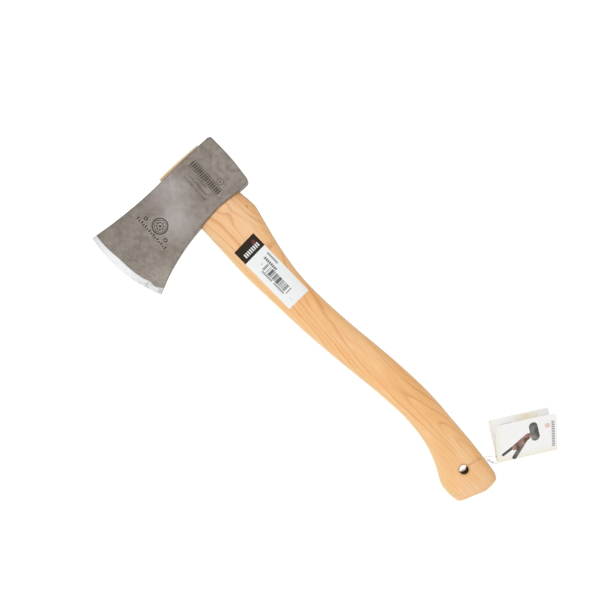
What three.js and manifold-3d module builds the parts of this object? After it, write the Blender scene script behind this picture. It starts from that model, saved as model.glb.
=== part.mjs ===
// A forestry hatchet: a forged steel head wedged on a curved ash handle, with a paper label round the
// handle, and a folded card tag on a nylon loop through the hang hole.
//
// Millimetres. The pieces are shaped about the middle of the head: +X runs along the handle to its
// knob, +Y to the poll, -Y to the cutting edge, and +Z across the thickness. The last lines lay the
// hatchet on its flank, with the middle of its box over the origin.
import * as THREE from 'three';
import { mergeVertices } from 'three/addons/utils/BufferGeometryUtils.js';
import Module from 'manifold-3d';

const wasm = await Module();
wasm.setup();

// Driving dimensions
const GAP = 0.3; // left between pieces that touch
const PAST = 5; // how far a cutting tool runs past what it cuts
const ROUND = 24; // sides of a round hole or sleeve
const HEAD = {
  thick: 24, // across the flat sides of the eye
  edge: { x: -14.4, y: 21.9, radius: 148.5 }, // the arc of the cutting edge
  chamfer: 1.4,
  span: [-45, 62], // along X, past the outline at both ends
  columns: 22,
  // Half the thickness at rising distances from the cutting edge, up to the flat sides
  half: [[0, 0.15], [7.5, 1.6], [30, 2.9], [52, 4.7], [70, 7], [86, 9.8], [98, 11.5], [108, 12]],
  rows: [0, 7.5, 14, 21, 28, 35, 42, 49, 56, 63, 70, 77, 84, 91, 98, 103, 108, 175],
};
const EYE = { y: -6.5, long: 27.3, wide: 8.9, roundness: 2.2, top: -37.5 };
const HANDLE = {
  start: 28,
  end: 423,
  slant: 10.5, // how much shorter the belly side is than the back
  slantFrom: 0.8, // the share of the length at which the sections begin to lean
  dome: 4.4, // how far the end face bulges
  domeRings: [[0.955, 0.35], [0.88, 0.6], [0.7, 0.8], [0.4, 0.95]], // shares of the section and of the dome
  shoulder: 3.2, // the step from the tongue out to the shoulder
  tongueEnd: 2, // how far the tongue runs on inside the shoulder
  roundness: 2.4,
  sides: 28,
  step: 6,
};
const HANG_HOLE = { x: 393, y: 2, radius: 4.6, countersink: 1.4 };
const WEDGE = { long: 50, deep: 46, thick: 5, thin: 1.2 };
const RING = { outer: 6.5, inner: 4.75, deep: 18 };
const LABEL = {
  corners: [[69.3, 2.5], [150.5, 5.7], [151.8, -22], [71.4, -25.5]],
  thick: 0.25,
  rows: 12,
  columns: 20,
};
const LOOP = { diameter: 0.8, sides: 8, step: 2 };
const LOCK = { x: 407.6, y: 28.4, z: 9, turn: 20, long: 8.4, radius: 1.4, waist: 1.05 };
const TAG = {
  long: 66,
  wide: 45,
  thick: 0.4,
  crease: 0.6, // from the fold's line to where each leaf begins
  corner: new THREE.Vector3(412.5, 31.8, 12.9), // the fold's end beside the handle, above the ground
  turn: 59.6, // from +X to the fold, in degrees
  dip: 7.7, // of the fold towards its far end
  droop: 3.8, // of the back leaf below level
  open: 30.3, // from the back leaf to the front one
  hole: { along: 4, across: 6.5, radius: 2 },
};

// The hatchet lies on the head's flat flank, so the ground is half the head's thickness down
const HALF_THICK = HEAD.thick / 2;
const GROUND = -HALF_THICK;

// The handle's two long edges and half its thickness, as points along X
const BACK_EDGE = [
  [28, 20.4], [40, 22.2], [49, 22.9], [58, 21.3], [72, 18.4], [96, 13.8], [120, 10.8], [136, 9.9],
  [152, 10.2], [176, 12], [208, 15.8], [240, 20.7], [272, 24.9], [304, 27.9], [324, 28.4], [344, 27.9],
  [376, 26.7], [400, 25.5], [412, 24.3], [419, 22.6], [423, 19.6],
];
const BELLY_EDGE = [
  [28, -34.2], [64, -33.8], [96, -33.2], [128, -30.5], [160, -27.7], [184, -25.3], [208, -22.1],
  [240, -17.3], [272, -12.1], [296, -9.1], [316, -7.5], [336, -8.2], [352, -10.6], [368, -15.4],
  [380, -20.6], [387, -24], [394, -25.5], [405, -25.2], [412.5, -22.2],
];
const HALF_THICKNESS = [
  [28, 9.6], [40, 10.6], [60, 10.9], [140, 9.6], [220, 9.4], [300, 10], [380, 10.6], [423, 10.6],
];

// The loop's route from one end of its lock to the other, [x, y, height above the ground]
const LOOP_ROUTE = [
  [412.1, 30.04, 9], [412.95, 30.6, 8.95], [413.4, 32, 8.8], [413.1, 34.6, 8.6], [412, 37, 8.7],
  [410.6, 38.3, 9.5], [409.4, 38.6, 10.9], [408.6, 37.9, 12.45], [407.6, 36.2, 13.1], [406.2, 34.4, 13.9],
  [403.8, 32.3, 15.4], [400.9, 29.8, 17.3], [397.9, 26.3, 19.4], [395.9, 21.6, 21.3], [394, 15.3, 22.9],
  [392.8, 9.8, 23.7], [392.5, 7.2, 23.2], [392.6, 5.7, 21.4], [393.9, 4.8, 18.4], [395.3, 3, 14.6],
  [395.7, 0.8, 10.2], [395.5, -0.6, 6], [395.6, -0.9, 3.2], [396.1, 0.1, 1.3], [396.8, 3.6, 0.65],
  [397.6, 11, 0.7], [398.8, 17.5, 1.4], [400.2, 22.6, 3.2], [401.4, 25.4, 6.2], [402.2, 26.4, 8.4],
  [403.15, 26.78, 9],
];

/** A smooth function through [x, y] points with x rising, whose slopes come from the neighbours. */
function curveThrough(points) {
  const slopes = points.map((_, i) => {
    const [x0, y0] = points[Math.max(i - 1, 0)];
    const [x1, y1] = points[Math.min(i + 1, points.length - 1)];
    return (y1 - y0) / (x1 - x0);
  });
  return (x) => {
    let i = 0;
    while (i < points.length - 2 && x > points[i + 1][0]) i += 1;
    const span = points[i + 1][0] - points[i][0];
    const t = THREE.MathUtils.clamp((x - points[i][0]) / span, 0, 1);
    const rise = points[i + 1][1] - points[i][1];
    const first = slopes[i] * span;
    const last = slopes[i + 1] * span;
    return points[i][1] + t * (first + t * (3 * rise - 2 * first - last + t * (first + last - 2 * rise)));
  };
}

/** A mesh from points and the triangles between them. */
function meshOf(points, triangles) {
  const geometry = new THREE.BufferGeometry();
  const numbers = points.flatMap((p) => [p.x, p.y, p.z]);
  geometry.setAttribute('position', new THREE.Float32BufferAttribute(numbers, 3));
  geometry.setIndex(triangles);
  return geometry;
}

/** A closed skin over rings of points, each ring counterclockwise as seen from the last one. */
function loft(rings) {
  const count = rings[0].length;
  const points = rings.flat();
  const triangles = [];
  for (let r = 0; r < rings.length - 1; r += 1) {
    for (let k = 0; k < count; k += 1) {
      const a = r * count + k;
      const b = r * count + ((k + 1) % count);
      triangles.push(a, b, b + count, a, b + count, a + count);
    }
  }
  for (const [ring, first, flip] of [[rings[0], 0, true], [rings.at(-1), points.length - count, false]]) {
    const middle = points.length;
    points.push(ring.reduce((sum, p) => sum.add(p), new THREE.Vector3()).divideScalar(count));
    for (let k = 0; k < count; k += 1) {
      const a = first + k;
      const b = first + ((k + 1) % count);
      triangles.push(...(flip ? [middle, b, a] : [middle, a, b]));
    }
  }
  return meshOf(points, triangles);
}

/** A closed slab between an upper and a lower grid of points, given as rows. */
function slab(upper, lower) {
  const rows = upper.length;
  const columns = upper[0].length;
  const under = rows * columns;
  const triangles = [];
  const at = (r, c) => r * columns + c;
  for (let r = 0; r < rows - 1; r += 1) {
    for (let c = 0; c < columns - 1; c += 1) {
      const [p, q, s, t] = [at(r, c), at(r, c + 1), at(r + 1, c + 1), at(r + 1, c)];
      triangles.push(p, q, s, p, s, t, under + p, under + s, under + q, under + p, under + t, under + s);
    }
  }
  const rim = [];
  for (let c = 0; c < columns - 1; c += 1) rim.push(at(0, c));
  for (let r = 0; r < rows - 1; r += 1) rim.push(at(r, columns - 1));
  for (let c = columns - 1; c > 0; c -= 1) rim.push(at(rows - 1, c));
  for (let r = rows - 1; r > 0; r -= 1) rim.push(at(r, 0));
  rim.forEach((p, i) => {
    const q = rim[(i + 1) % rim.length];
    triangles.push(p, under + p, under + q, p, under + q, q);
  });
  return meshOf([...upper.flat(), ...lower.flat()], triangles);
}

function toSolid(geometry) {
  const bare = geometry.clone();
  bare.deleteAttribute('normal');
  bare.deleteAttribute('uv');
  const merged = mergeVertices(bare, 1e-4);
  const vertProperties = new Float32Array(merged.attributes.position.array);
  const triVerts = new Uint32Array(merged.index.array);
  return new wasm.Manifold(new wasm.Mesh({ numProp: 3, vertProperties, triVerts }));
}

function toGeometry(solid) {
  const { vertProperties, triVerts } = solid.getMesh();
  const geometry = new THREE.BufferGeometry();
  geometry.setAttribute('position', new THREE.BufferAttribute(new Float32Array(vertProperties), 3));
  geometry.setIndex(new THREE.BufferAttribute(new Uint32Array(triVerts), 1));
  return geometry;
}

function cut(body, ...tools) {
  return toGeometry(tools.reduce((left, tool) => left.subtract(toSolid(tool)), toSolid(body)));
}

/** One section of the handle, tongue or eye: a flattened oval across the line from belly to back. */
function oval(belly, back, half, roundness, sides = HANDLE.sides) {
  const middle = belly.clone().add(back).multiplyScalar(0.5);
  const across = back.clone().sub(belly).multiplyScalar(0.5);
  const bulge = (value) => Math.sign(value) * Math.abs(value) ** (2 / roundness);
  return Array.from({ length: sides }, (_, k) => {
    const angle = (2 * Math.PI * k) / sides;
    const point = middle.clone().addScaledVector(across, bulge(Math.cos(angle)));
    return point.setZ(half * bulge(Math.sin(angle)));
  });
}

/** A section of the eye at x, made larger on each side by extra. */
function eyeSection(x, extra) {
  const belly = new THREE.Vector3(x, EYE.y - EYE.long - extra, 0);
  const back = new THREE.Vector3(x, EYE.y + EYE.long + extra, 0);
  return oval(belly, back, EYE.wide + extra, EYE.roundness);
}

/** A ring-shaped body round the eye's long axis, or a rod where inner is 0. */
function sleeve(inner, outer, from, to) {
  const profile = [[inner, from], [outer, from], [outer, to], [inner, to], [inner, from]];
  const body = new THREE.LatheGeometry(profile.map(([r, y]) => new THREE.Vector2(r, y)), ROUND);
  return body.rotateZ(-Math.PI / 2).translate(0, EYE.y, 0);
}

/** The taper that the wedge has, or the kerf for it: extra wider all round and open at the top. */
function wedgeTaper(long, extra) {
  const slope = (WEDGE.thick - WEDGE.thin) / 2 / WEDGE.deep;
  const above = extra > 0 ? PAST : 0;
  const mouth = WEDGE.thick / 2 + extra + above * slope;
  const tip = WEDGE.thin / 2 + extra * (1 - slope);
  const shape = new THREE.Shape();
  shape.moveTo(EYE.top - above, mouth);
  shape.lineTo(EYE.top - above, -mouth);
  shape.lineTo(EYE.top + WEDGE.deep + extra, -tip);
  shape.lineTo(EYE.top + WEDGE.deep + extra, tip);
  const body = new THREE.ExtrudeGeometry(shape, { depth: long, bevelEnabled: false });
  return body.rotateX(-Math.PI / 2).translate(0, EYE.y - long / 2, 0);
}

/** The head: its side outline, cut to the taper of its cheeks, with the eye through it. */
function axeHead() {
  const outline = new THREE.Shape();
  outline.moveTo(-34.6, 31.5);
  outline.quadraticCurveTo(-34.6, 35.6, -31, 35.9);
  outline.quadraticCurveTo(-4, 38, 22, 35.2);
  outline.quadraticCurveTo(27.4, 34.6, 27.4, 30);
  outline.lineTo(27.4, 21.8);
  const underside = [
    [26.6, 9], [26.2, -2], [26.8, -14], [28.3, -28], [31.9, -50], [36.9, -70], [43.7, -90], [52.4, -109],
  ];
  outline.splineThru(underside.map(([x, y]) => new THREE.Vector2(x, y)));
  outline.lineTo(58, -121);
  outline.lineTo(40, -140);
  outline.lineTo(-40.2, -140);
  outline.lineTo(-37.9, -124);
  const top = [[-35.1, -100], [-33.2, -72], [-32.6, -50], [-32.8, -34], [-34.2, 0]];
  outline.splineThru(top.map(([x, y]) => new THREE.Vector2(x, y)));
  outline.closePath();
  const profile = new THREE.ExtrudeGeometry(outline, {
    depth: HEAD.thick - 2 * HEAD.chamfer,
    bevelSize: HEAD.chamfer,
    bevelOffset: -HEAD.chamfer,
    bevelThickness: HEAD.chamfer,
    bevelSegments: 1,
    curveSegments: 8,
  }).translate(0, 0, HEAD.chamfer - HALF_THICK);

  const halfAt = curveThrough(HEAD.half);
  const edgeY = (x) => HEAD.edge.y - Math.sqrt(HEAD.edge.radius ** 2 - (x - HEAD.edge.x) ** 2);
  const grid = (side) => HEAD.rows.map((from) => Array.from({ length: HEAD.columns + 1 }, (_, c) => {
    const x = THREE.MathUtils.lerp(...HEAD.span, c / HEAD.columns);
    return new THREE.Vector3(x, edgeY(x) + from, side * halfAt(from));
  }));
  const cheeks = slab(grid(1), grid(-1));
  const eye = loft(HEAD.span.map((x) => eyeSection(x, 0)));
  return toGeometry(toSolid(profile).intersect(toSolid(cheeks)).subtract(toSolid(eye)));
}

/** The handle's section at a share of its length, as its belly and back points and half thickness. */
function handleSection(share) {
  const backX = THREE.MathUtils.lerp(HANDLE.start, HANDLE.end, share);
  const bellyX = backX - HANDLE.slant * THREE.MathUtils.smoothstep(share, HANDLE.slantFrom, 1);
  return {
    belly: new THREE.Vector3(bellyX, curveThrough(BELLY_EDGE)(bellyX), 0),
    back: new THREE.Vector3(backX, curveThrough(BACK_EDGE)(backX), 0),
    half: curveThrough(HALF_THICKNESS)(backX),
  };
}

/** The height of the handle's upper surface over a point of its straight-cut part. */
function handleTop(x, y) {
  const { belly, back, half } = handleSection((x - HANDLE.start) / (HANDLE.end - HANDLE.start));
  const across = Math.abs(y - (back.y + belly.y) / 2) / ((back.y - belly.y) / 2);
  return half * (1 - across ** HANDLE.roundness) ** (1 / HANDLE.roundness);
}

/** The handle: a tongue through the eye, a shoulder under the head, the curved grip and the knob. */
function handle() {
  const softened = 0.8; // the chamfer round the tongue's end
  const tongue = [
    [EYE.top, -GAP - softened], [EYE.top + softened, -GAP],
    [0, -GAP], [HANDLE.start + HANDLE.tongueEnd, -GAP],
  ];
  const rings = tongue.map(([x, extra]) => eyeSection(x, extra));
  const stations = Math.round((HANDLE.end - HANDLE.start) / HANDLE.step);
  for (let i = 0; i <= stations; i += 1) {
    const { belly, back, half } = handleSection(i / stations);
    const start = i === 0 ? new THREE.Vector3(HANDLE.shoulder, 0, 0) : new THREE.Vector3();
    rings.push(oval(belly.add(start), back.add(start), half, HANDLE.roundness));
  }
  // The end face: the last section, drawn in and pushed out along the slanted end
  const { belly, back, half } = handleSection(1);
  const middle = belly.clone().add(back).multiplyScalar(0.5);
  const outward = new THREE.Vector3(back.y - belly.y, belly.x - back.x, 0).normalize();
  for (const [size, rise] of HANDLE.domeRings) {
    const lift = outward.clone().multiplyScalar(HANDLE.dome * rise).add(middle);
    const ring = oval(belly, back, half, HANDLE.roundness);
    rings.push(ring.map((p) => p.sub(middle).multiplyScalar(size).add(lift)));
  }
  return cut(loft(rings), wedgeTaper(2 * (EYE.long + PAST), GAP), ringGroove(), hangHole());
}

/** The round hole through the knob, with a countersink on both sides. */
function hangHole() {
  const { x, y, radius, countersink } = HANG_HOLE;
  const wall = curveThrough(HALF_THICKNESS)(x) - countersink;
  const bore = [
    [0, -wall - PAST], [radius + PAST, -wall - PAST], [radius, -wall],
    [radius, wall], [radius + PAST, wall + PAST], [0, wall + PAST],
  ];
  const body = new THREE.LatheGeometry(bore.map(([r, h]) => new THREE.Vector2(r, h)), ROUND);
  return body.rotateX(Math.PI / 2).translate(x, y, 0);
}

/** The room that the ring takes up in the handle and in the wedge. */
function ringGroove() {
  return sleeve(RING.inner - GAP, RING.outer + GAP, EYE.top - PAST, EYE.top + RING.deep + GAP);
}

function hardwoodWedge() {
  return cut(wedgeTaper(WEDGE.long, 0), ringGroove());
}

/** The steel ring driven in over the wedge. */
function ringWedge() {
  return sleeve(RING.inner, RING.outer, EYE.top - GAP, EYE.top + RING.deep);
}

/** The sticker, bent over the handle's upper side. */
function paperLabel() {
  const [a, b, c, d] = LABEL.corners.map(([x, y]) => new THREE.Vector2(x, y));
  const { rows, columns } = LABEL;
  const point = (r, k, rise) => {
    const near = d.clone().lerp(c, k / columns);
    const p = near.lerp(a.clone().lerp(b, k / columns), r / rows);
    return new THREE.Vector3(p.x, p.y, handleTop(p.x, p.y) + rise);
  };
  const rowOf = (r, rise) => Array.from({ length: columns + 1 }, (_, k) => point(r, k, rise));
  const layer = (rise) => Array.from({ length: rows + 1 }, (_, r) => rowOf(r, rise));
  return slab(layer(GAP + LABEL.thick), layer(GAP));
}

/** The clear filament, from one end of the lock to the other. */
function nylonLoop() {
  const points = LOOP_ROUTE.map(([x, y, z]) => new THREE.Vector3(x, y, z + GROUND));
  const route = new THREE.CatmullRomCurve3(points);
  const section = new THREE.Shape();
  for (let k = 0; k < LOOP.sides; k += 1) {
    const angle = (2 * Math.PI * k) / LOOP.sides;
    const point = [LOOP.diameter / 2 * Math.cos(angle), LOOP.diameter / 2 * Math.sin(angle)];
    if (k === 0) section.moveTo(...point);
    else section.lineTo(...point);
  }
  section.closePath();
  const steps = Math.round(route.getLength() / LOOP.step);
  return new THREE.ExtrudeGeometry(section, { steps, extrudePath: route, curveSegments: 1 });
}

/** The moulded barrel that joins the loop's two ends. */
function loopLock() {
  const { long, radius, waist } = LOCK;
  // Shares of the radius and of the length
  const narrow = waist / radius;
  const profile = [
    [0, -0.5], [0.7, -0.5], [1, -0.42], [1, -0.16], [narrow, -0.12],
    [narrow, 0.12], [1, 0.16], [1, 0.42], [0.7, 0.5], [0, 0.5],
  ];
  const points = profile.map(([r, y]) => new THREE.Vector2(r * radius, y * long));
  const barrel = new THREE.LatheGeometry(points, ROUND);
  return barrel.rotateZ(-Math.PI / 2);
}

/** One leaf of the tag in its own plane, the fold along X and the card towards Y. */
function tagLeaf(punched) {
  const { long, wide, thick, crease, hole } = TAG;
  const card = new THREE.Shape();
  card.moveTo(0, crease);
  card.lineTo(long, crease);
  card.lineTo(long, wide);
  card.lineTo(0, wide);
  card.closePath();
  if (punched) {
    const round = new THREE.Path();
    round.absarc(hole.along, hole.across, hole.radius, 0, 2 * Math.PI, true);
    card.holes.push(round);
  }
  return new THREE.ExtrudeGeometry(card, { depth: thick, bevelEnabled: false, curveSegments: 10 });
}

const STEEL = new THREE.MeshStandardMaterial({ color: 0x8a8480, roughness: 0.55, metalness: 0.8 });
const ASH = new THREE.MeshStandardMaterial({ color: 0xf0c493, roughness: 0.5, metalness: 0 });
const BEECH = new THREE.MeshStandardMaterial({ color: 0xd8a878, roughness: 0.6, metalness: 0 });
const BRIGHT_STEEL = new THREE.MeshStandardMaterial({ color: 0xb8b8bc, roughness: 0.35, metalness: 1 });
const PAPER = new THREE.MeshStandardMaterial({ color: 0xf4f4f2, roughness: 0.7, metalness: 0 });
const CARD = new THREE.MeshStandardMaterial({ color: 0xefe9d8, roughness: 0.75, metalness: 0 });
const NYLON = new THREE.MeshStandardMaterial({ color: 0xd8dadc, roughness: 0.25, metalness: 0 });

function piece(name, geometry, material, parent) {
  const mesh = new THREE.Mesh(geometry, material);
  mesh.name = name;
  parent.add(mesh);
  return mesh;
}

const hatchet = new THREE.Group();
piece('axe_head', axeHead(), STEEL, hatchet);
piece('handle', handle(), ASH, hatchet);
piece('hardwood_wedge', hardwoodWedge(), BEECH, hatchet);
piece('ring_wedge', ringWedge(), BRIGHT_STEEL, hatchet);
piece('paper_label', paperLabel(), PAPER, hatchet);

// The hatchet's own box, without the loop and the tag, is centred over the origin
const box = new THREE.Box3().setFromObject(hatchet);
hatchet.position.set(-(box.min.x + box.max.x) / 2, -(box.min.y + box.max.y) / 2, -box.min.z);

piece('nylon_loop', nylonLoop(), NYLON, hatchet);
const lock = piece('loop_lock', loopLock(), NYLON, hatchet);
lock.position.set(LOCK.x, LOCK.y, LOCK.z + GROUND);
lock.rotation.z = THREE.MathUtils.degToRad(LOCK.turn);

// The tag's group has its X axis along the fold, and each leaf turns about it
const tag = new THREE.Group();
tag.position.copy(TAG.corner).setZ(TAG.corner.z + GROUND);
tag.rotation.set(0, THREE.MathUtils.degToRad(TAG.dip), THREE.MathUtils.degToRad(TAG.turn), 'ZYX');
hatchet.add(tag);
const backLeaf = piece('tag_back_leaf', tagLeaf(true), CARD, tag);
backLeaf.rotation.x = THREE.MathUtils.degToRad(-TAG.droop);
backLeaf.translateZ(-TAG.thick);
const frontLeaf = piece('tag_front_leaf', tagLeaf(false), CARD, tag);
frontLeaf.rotation.x = THREE.MathUtils.degToRad(TAG.open - TAG.droop);

const group = new THREE.Group();
group.add(hatchet);
group.updateMatrixWorld(true);
export default group;
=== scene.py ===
"""The looks of a forestry hatchet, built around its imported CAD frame. Blender 4.5.

Every piece is shaped in millimetres about the middle of the head, as in the CAD source: +X runs along the
handle to its knob, +Y to the poll, -Y to the cutting edge, and +Z up. to_row() takes those places to the
row frame, in metres.
"""

import math
from functools import reduce

import bpy
import numpy as np
from mathutils import Matrix, Vector, noise


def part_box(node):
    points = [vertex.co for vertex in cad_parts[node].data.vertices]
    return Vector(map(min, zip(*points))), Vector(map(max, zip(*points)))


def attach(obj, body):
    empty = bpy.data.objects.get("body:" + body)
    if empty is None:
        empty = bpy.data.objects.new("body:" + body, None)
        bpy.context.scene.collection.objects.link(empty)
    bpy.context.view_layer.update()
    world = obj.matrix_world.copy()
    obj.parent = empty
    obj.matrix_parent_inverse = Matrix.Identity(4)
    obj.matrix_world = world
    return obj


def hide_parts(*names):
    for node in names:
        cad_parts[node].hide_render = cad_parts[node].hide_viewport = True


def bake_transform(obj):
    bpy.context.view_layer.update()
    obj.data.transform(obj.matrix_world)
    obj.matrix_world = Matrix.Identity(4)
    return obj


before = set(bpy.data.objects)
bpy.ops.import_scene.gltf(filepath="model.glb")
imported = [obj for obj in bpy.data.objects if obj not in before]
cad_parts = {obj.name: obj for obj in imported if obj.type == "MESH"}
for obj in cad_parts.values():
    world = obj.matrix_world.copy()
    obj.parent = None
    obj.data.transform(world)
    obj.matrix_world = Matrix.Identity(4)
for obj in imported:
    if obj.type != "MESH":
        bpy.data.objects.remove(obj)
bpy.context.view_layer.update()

MM = 0.001
TONGUE_END = -37.5  # the lowest x of the handle
BELLY_START = -34.2  # the lowest y of the handle
HEAD_LOW, HEAD_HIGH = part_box("axe_head")
HALF_THICK = (HEAD_HIGH.z - HEAD_LOW.z) / 2 / MM
ORIGIN = np.array(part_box("handle")[0]) - np.array((TONGUE_END, BELLY_START, 0)) * MM
ORIGIN[2] = (HEAD_LOW.z + HEAD_HIGH.z) / 2
GROUND = -HALF_THICK

# The head
EDGE = {"x": -14.4, "y": 21.9, "radius": 148.5}  # the arc of the cutting edge
EYE = {"y": -6.5, "long": 27.3, "wide": 8.9, "roundness": 2.2}
POLL_ROUND = 1.5  # radius of the forging's softened edges
FINE_STEP = 0.42  # of the head's grid, where the marks are
COARSE_STEP = 1.4
MARKED = ((-79, -53), (-15, 17))  # the stretches of y that hold marks

# The handle
HANDLE = {"start": 28, "end": 423, "slant": 10.5, "slant_from": 0.8, "dome": 4.4, "roundness": 2.4}
SHOULDER = 1.4  # radius of the step out from the tongue, which follows the head's lower edge
SHOULDER_START = 27
SHOULDER_SECTION = (-34.2, 20.4, 9.7)  # the handle's belly, back and half thickness at its shoulder
DOME_SIZES = (0.993, 0.98, 0.96, 0.93, 0.89, 0.84, 0.77, 0.68, 0.56, 0.42, 0.25, 0.08)
SIDES = 72
HANG_HOLE = {"place": (393, 2), "radius": 4.6, "flare": 1.6}
WEDGE = {"long": 52.4, "deep": 46, "thick": 5, "thin": 1.2}
RING = {"outer": 6.5, "inner": 4.75, "deep": 18}
GROOVE_GAP = 0.06  # left round the wedge and the ring
BACK_EDGE = [
    (28, 20.4), (40, 22.2), (49, 22.9), (58, 21.3), (72, 18.4), (96, 13.8), (120, 10.8), (136, 9.9),
    (152, 10.2), (176, 12), (208, 15.8), (240, 20.7), (272, 24.9), (304, 27.9), (324, 28.4), (344, 27.9),
    (376, 27.1), (388, 26.4), (400, 25.5), (412, 24.4), (419, 23.4), (423, 21.2),
]
BELLY_EDGE = [
    (28, -34.2), (64, -33.8), (96, -33.2), (128, -30.5), (160, -27.7), (184, -25.3), (208, -22.1),
    (240, -17.3), (272, -12.1), (296, -9.1), (316, -7.5), (336, -8.2), (352, -10.6), (368, -15.4),
    (380, -20.7), (387, -24.3), (394, -26.2), (405, -26.2), (412.5, -24.8),
]
HALF_THICKNESS = [
    (28, 9.6), (40, 10.6), (60, 10.9), (140, 9.6), (220, 9.4), (300, 10), (380, 10.6), (423, 10.6),
]

# The label: its corners, and the size of the print on it
LABEL_CORNERS = [(69.3, 2.5), (150.5, 5.7), (151.8, -22), (71.4, -25.5)]
LABEL_SIZE = (80, 27.7)
LABEL_RISE = (0.06, 0.17)  # the sticker's lower and upper side above the wood

# The loop's route from one end of its lock to the other, x, y and the height above the ground, in metres
# about the middle of the head
LOOP_DIAMETER = 0.0008
LOOP_ROUTE = [
    (0.4121, 0.03004, 0.009), (0.41295, 0.0306, 0.00895), (0.4134, 0.032, 0.0088), (0.4131, 0.0346, 0.0086),
    (0.412, 0.037, 0.0087), (0.4106, 0.0383, 0.0095), (0.4094, 0.0386, 0.0109), (0.4086, 0.0379, 0.01245),
    (0.4076, 0.0362, 0.0131), (0.4062, 0.0344, 0.0139), (0.4038, 0.0323, 0.0154), (0.4009, 0.0298, 0.0173),
    (0.3979, 0.0263, 0.0194), (0.3959, 0.0216, 0.0213), (0.394, 0.0153, 0.0229), (0.3928, 0.0098, 0.0237),
    (0.3925, 0.0072, 0.0232), (0.3926, 0.0057, 0.0214), (0.3939, 0.0048, 0.0184), (0.3953, 0.003, 0.0146),
    (0.3957, 0.0008, 0.0102), (0.3955, -0.0006, 0.006), (0.3956, -0.0009, 0.0032), (0.3961, 0.0001, 0.0013),
    (0.3968, 0.0036, 0.00065), (0.3976, 0.011, 0.0007), (0.3988, 0.0175, 0.0014), (0.4002, 0.0226, 0.0032),
    (0.4014, 0.0254, 0.0062), (0.4022, 0.0264, 0.0084), (0.40315, 0.02678, 0.009),
]
LOCK = {"place": (407.6, 28.4, 9), "turn": 20, "long": 8.4, "radius": 1.4}

# The tag: one card, folded along an edge that starts beside the handle
TAG = {
    "long": 66, "wide": 45, "thick": 0.36, "corner": (412.5, 31.8, 12.9), "turn": 59.6, "dip": 7.7,
    "droop": 3.8, "open": 30.3, "hole": (4, 6.5, 2),
}

# The camera looks straight down on this place, with the handle running to the lower right
VIEW = {"x": 152.1, "y": -7.5, "across": 618, "distance": 1250, "right": (0.6665, 0.7455)}


def to_row(points):
    return np.asarray(points, float) * MM + ORIGIN


def curve_through(points):
    """A smooth function through (x, y) points with x rising, whose slopes come from the neighbours."""
    xs, ys = np.array(points, float).T
    before = np.maximum(np.arange(len(xs)) - 1, 0)
    after = np.minimum(np.arange(len(xs)) + 1, len(xs) - 1)
    slopes = (ys[after] - ys[before]) / (xs[after] - xs[before])

    def at(x):
        i = np.clip(np.searchsorted(xs, x, side="right") - 1, 0, len(xs) - 2)
        span = xs[i + 1] - xs[i]
        t = np.clip((x - xs[i]) / span, 0, 1)
        rise = ys[i + 1] - ys[i]
        first, last = slopes[i] * span, slopes[i + 1] * span
        return ys[i] + t * (first + t * (3 * rise - 2 * first - last + t * (first + last - 2 * rise)))

    return at


def smoothstep(value, low, high):
    t = np.clip((value - low) / (high - low), 0, 1)
    return t * t * (3 - 2 * t)


def bumps(x, y, scale, seed):
    """Smooth noise of about -1 to 1 over arrays of places, with features of that scale."""
    places = zip(np.ravel(x / scale), np.ravel(y / scale))
    values = [noise.fractal(Vector((a, b, seed)), 0.9, 2.1, 3) for a, b in places]
    return np.array(values).reshape(np.shape(x))


# ---- meshes


def quads(rows, columns, around=False, flip=False, first=0):
    """The faces of a grid of points. around joins the last column to the first."""
    index = first + np.arange(rows * columns).reshape(rows, columns)
    if around:
        index = np.hstack([index, index[:, :1]])
    faces = np.stack([index[:-1, :-1], index[:-1, 1:], index[1:, 1:], index[1:, :-1]], -1).reshape(-1, 4)
    return (faces[:, ::-1] if flip else faces).tolist()


def rim_of(rows, columns):
    """The indices round a grid's edge: the first row, down the last column, and back."""
    index = np.arange(rows * columns).reshape(rows, columns)
    return np.concatenate([index[0, :-1], index[:-1, -1], index[-1, :0:-1], index[:0:-1, 0]])


def sheet_faces(rows, columns, flip=False):
    """The faces of a thin sheet: two grids of points, one over the other, and the wall round them."""
    count = rows * columns
    rim = rim_of(rows, columns)
    after = np.roll(rim, -1)
    wall = [rim, after, after + count, rim + count] if flip else [rim, rim + count, after + count, after]
    skins = quads(rows, columns, flip=flip) + quads(rows, columns, flip=not flip, first=count)
    return skins + np.stack(wall, -1).tolist()


def loft(rings):
    """Points and faces of a closed skin over rings, each counterclockwise as seen from the last one."""
    rings = np.asarray(rings, float)
    count, sides = rings.shape[:2]
    faces = quads(count, sides, around=True)
    faces.append(list(range(sides))[::-1])
    faces.append(list(range((count - 1) * sides, count * sides)))
    return rings.reshape(-1, 3), faces


def lathe(profile, sides):
    """A closed body round the Z axis from (radius, height) points, the lowest first."""
    angles = np.arange(sides) * 2 * math.pi / sides
    rings = [[(r * math.cos(a), r * math.sin(a), h) for a in angles] for r, h in profile]
    return loft(rings)


def add_object(name, data):
    added = bpy.data.objects.new(name, data)
    bpy.context.scene.collection.objects.link(added)
    return added


def make_object(name, points, faces):
    mesh = bpy.data.meshes.new(name)
    mesh.from_pydata(to_row(points).tolist(), [], faces)
    return add_object(name, mesh)


def set_attribute(piece, name, values):
    layer = piece.data.attributes.new(name, "FLOAT", "POINT")
    layer.data.foreach_set("value", np.ravel(values).astype(np.float32))


def set_prints(sheet, across, up):
    """Gives both skins of a sheet a UV map with each vertex's place on the print, in millimetres."""
    places = np.stack([across, up], -1).reshape(-1, 2)
    places = np.vstack([places, places]).astype(np.float32)
    layer = sheet.data.uv_layers.new(name="print")
    corners = np.zeros(len(sheet.data.loops), np.int32)
    sheet.data.loops.foreach_get("vertex_index", corners)
    layer.data.foreach_set("uv", places[corners].ravel())


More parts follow.
